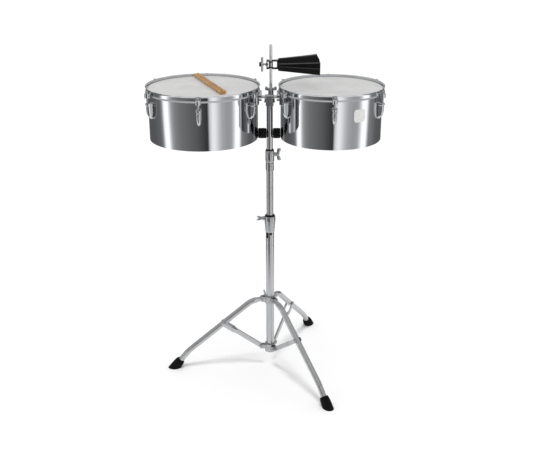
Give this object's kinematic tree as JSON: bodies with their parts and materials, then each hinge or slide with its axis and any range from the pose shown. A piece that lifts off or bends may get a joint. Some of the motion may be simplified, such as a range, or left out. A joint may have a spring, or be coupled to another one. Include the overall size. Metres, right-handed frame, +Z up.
{
  "type": "timbales on a tripod stand",
  "caption": "Pair of shallow single-headed metal shell drums on a folding, height-adjustable tripod stand, with a cowbell on a rod above and a pair of sticks on one head.",
  "frame": {"origin": "on the floor, under the axis of the stand's tubes", "axes": "+Z up along the stand; +X towards the smaller drum, along the row of drums; -Y towards the player"},
  "size_m": [0.7695, 0.6441, 1.151],
  "materials": {
    "shell_chrome": "mirror polished chrome plate",
    "stand_chrome": "bright chrome plate over drawn tube",
    "cast_chrome": "chrome plated zinc casting, slightly soft",
    "zinc_steel": "bright zinc plated steel",
    "head_film": "white coated polyester film",
    "hoop_aluminium": "mill finish",
    "black_rubber": "moulded, matte",
    "black_nylon": "moulded nylon",
    "black_paint": "satin powder coat on steel",
    "stick_wood": "clear finished hickory",
    "badge_enamel": "blank enamelled plate"
  },
  "bodies": {
    "stand_base": {"lower_tube": "stand_chrome", "bottom_spider": "cast_chrome", "brace_pins": "zinc_steel", "lower_clamp": "cast_chrome", "lower_bushing": "black_nylon"},
    "leg_collar": {"leg_collar": "cast_chrome", "leg_pins": "zinc_steel"},
    "left_leg": {"left_leg": "stand_chrome", "left_foot": "black_rubber"},
    "front_leg": {"front_leg": "stand_chrome", "front_foot": "black_rubber"},
    "back_leg": {"back_leg": "stand_chrome", "back_foot": "black_rubber"},
    "left_brace": {"left_brace": "stand_chrome"},
    "front_brace": {"front_brace": "stand_chrome"},
    "back_brace": {"back_brace": "stand_chrome"},
    "mid_stage": {"mid_tube": "stand_chrome", "upper_clamp": "cast_chrome"},
    "memory_lock": {"memory_lock": "cast_chrome", "memory_lock_screw": "zinc_steel"},
    "upper_bushing": {"upper_bushing": "black_nylon"},
    "upper_post": {"post_tube": "stand_chrome", "post_head": "cast_chrome", "post_head_bolts": "zinc_steel", "cross_rod": "stand_chrome", "bumper_pin": "zinc_steel", "bumper_sleeves": "black_rubber"},
    "left_drum": {"left_shell": "shell_chrome", "left_head": "head_film", "left_lugs": "cast_chrome", "left_lug_screws": "zinc_steel", "left_swivel_nuts": "zinc_steel", "left_bracket": "cast_chrome"},
    "right_drum": {"right_shell": "shell_chrome", "right_head": "head_film", "right_lugs": "cast_chrome", "right_lug_screws": "zinc_steel", "right_swivel_nuts": "zinc_steel", "right_bracket": "cast_chrome", "badge": "badge_enamel"},
    "left_hoop": {"left_counterhoop": "shell_chrome", "left_flesh_hoop": "hoop_aluminium", "left_claws": "cast_chrome", "left_tension_rods": "stand_chrome"},
    "right_hoop": {"right_counterhoop": "shell_chrome", "right_flesh_hoop": "hoop_aluminium", "right_claws": "cast_chrome", "right_tension_rods": "stand_chrome"},
    "bell_rod": {"bell_rod": "stand_chrome"},
    "bell_sleeve": {"bell_sleeve": "stand_chrome"},
    "bell": {"cowbell": "black_paint", "bell_strap": "black_paint"},
    "stick_left": {"stick_left": "stick_wood"},
    "stick_right": {"stick_right": "stick_wood"},
    "collar_wing_bolt": {"collar_wing_bolt": "cast_chrome"},
    "lower_wing_bolt": {"lower_wing_bolt": "cast_chrome"},
    "upper_wing_bolt": {"upper_wing_bolt": "cast_chrome"},
    "rod_wing_nut": {"rod_wing_nut": "cast_chrome"},
    "bell_wing_bolt": {"bell_wing_bolt": "cast_chrome"}
  },
  "joints": [
    {"name": "tripod_fold", "type": "slide", "parent": "stand_base", "child": "leg_collar", "axis": [0, 0, 1], "range_m": [0, 0.12]},
    {"name": "left_leg_hinge", "type": "hinge", "parent": "leg_collar", "child": "left_leg", "pos_m": [-0.02693, -0.00188, 0.264], "axis": [0.0698, -0.9976, 0], "range_deg": [0, 33.98]},
    {"name": "front_leg_hinge", "type": "hinge", "parent": "leg_collar", "child": "front_leg", "pos_m": [0.0151, -0.02238, 0.264], "axis": [0.829, 0.5592, 0], "range_deg": [0, 33.98]},
    {"name": "back_leg_hinge", "type": "hinge", "parent": "leg_collar", "child": "back_leg", "pos_m": [0.01184, 0.02427, 0.264], "axis": [-0.8988, 0.4384, 0], "range_deg": [0, 33.98]},
    {"name": "left_brace_hinge", "type": "hinge", "parent": "stand_base", "child": "left_brace", "pos_m": [-0.03092, -0.00216, 0.075], "axis": [0.0698, -0.9976, 0], "range_deg": [-33.25, 0]},
    {"name": "front_brace_hinge", "type": "hinge", "parent": "stand_base", "child": "front_brace", "pos_m": [0.01733, -0.0257, 0.075], "axis": [0.829, 0.5592, 0], "range_deg": [-33.25, 0]},
    {"name": "back_brace_hinge", "type": "hinge", "parent": "stand_base", "child": "back_brace", "pos_m": [0.01359, 0.02786, 0.075], "axis": [-0.8988, 0.4384, 0], "range_deg": [-33.25, 0]},
    {"name": "mid_height", "type": "slide", "parent": "stand_base", "child": "mid_stage", "axis": [0, 0, 1], "range_m": [-0.09, 0.12]},
    {"name": "post_height", "type": "slide", "parent": "upper_bushing", "child": "upper_post", "axis": [0, 0, 1], "range_m": [-0.02, 0.15]},
    {"name": "post_swivel", "type": "hinge", "parent": "mid_stage", "child": "upper_bushing", "pos_m": [0, 0, 0.787], "axis": [0, 0, 1], "continuous": true},
    {"name": "left_tilt", "type": "hinge", "parent": "upper_post", "child": "left_drum", "pos_m": [0, -0.012, 0.987], "axis": [1, 0, 0], "range_deg": [-8, 8]},
    {"name": "right_tilt", "type": "hinge", "parent": "upper_post", "child": "right_drum", "pos_m": [0, -0.012, 0.987], "axis": [1, 0, 0], "range_deg": [-8, 8]},
    {"name": "left_tuning", "type": "slide", "parent": "left_drum", "child": "left_hoop", "axis": [0, 0, 1], "range_m": [-0.003, 0]},
    {"name": "right_tuning", "type": "slide", "parent": "right_drum", "child": "right_hoop", "axis": [0, 0, 1], "range_m": [-0.003, 0]},
    {"name": "bell_rod_height", "type": "slide", "parent": "upper_post", "child": "bell_rod", "axis": [0, 0, 1], "range_m": [0, 0.08]},
    {"name": "bell_height", "type": "slide", "parent": "bell_rod", "child": "bell_sleeve", "axis": [0, 0, 1], "range_m": [-0.01, 0.03]},
    {"name": "bell_swing", "type": "hinge", "parent": "bell_sleeve", "child": "bell", "pos_m": [0.004, 0, 1.089], "axis": [0, 0, 1], "range_deg": [-30, 30]},
    {"name": "stick_left_lift", "type": "slide", "parent": "left_drum", "child": "stick_left", "axis": [0, 0, 1], "range_m": [0, 0.2]},
    {"name": "stick_right_lift", "type": "slide", "parent": "left_drum", "child": "stick_right", "axis": [0, 0, 1], "range_m": [0, 0.2]},
    {"name": "memory_lock_height", "type": "slide", "parent": "mid_stage", "child": "memory_lock", "axis": [0, 0, 1], "range_m": [-0.03, 0]},
    {"name": "collar_bolt_turn", "type": "hinge", "parent": "leg_collar", "child": "collar_wing_bolt", "pos_m": [-0.0156, 0.02228, 0.262], "axis": [-0.5736, 0.8192, 0], "range_deg": [-270, 0]},
    {"name": "lower_bolt_turn", "type": "hinge", "parent": "stand_base", "child": "lower_wing_bolt", "pos_m": [-0.0252, 0, 0.566], "axis": [-1, 0, 0], "range_deg": [-270, 0]},
    {"name": "upper_bolt_turn", "type": "hinge", "parent": "mid_stage", "child": "upper_wing_bolt", "pos_m": [0.0222, 0, 0.792], "axis": [1, 0, 0], "range_deg": [-270, 0]},
    {"name": "rod_nut_turn", "type": "hinge", "parent": "upper_post", "child": "rod_wing_nut", "pos_m": [0.004, 0, 1.0032], "axis": [0, 0, 1], "range_deg": [-270, 0]},
    {"name": "bell_bolt_turn", "type": "hinge", "parent": "bell", "child": "bell_wing_bolt", "pos_m": [-0.0102, 0, 1.089], "axis": [-1, 0, 0], "range_deg": [-270, 0]}
  ],
  "couplings": [
    {"joint": "left_leg_hinge", "follows": "tripod_fold", "rad_per_m": 4.9343},
    {"joint": "front_leg_hinge", "follows": "tripod_fold", "rad_per_m": 4.9343},
    {"joint": "back_leg_hinge", "follows": "tripod_fold", "rad_per_m": 4.9343},
    {"joint": "left_brace_hinge", "follows": "tripod_fold", "rad_per_m": -4.8283},
    {"joint": "front_brace_hinge", "follows": "tripod_fold", "rad_per_m": -4.8283},
    {"joint": "back_brace_hinge", "follows": "tripod_fold", "rad_per_m": -4.8283}
  ]
}
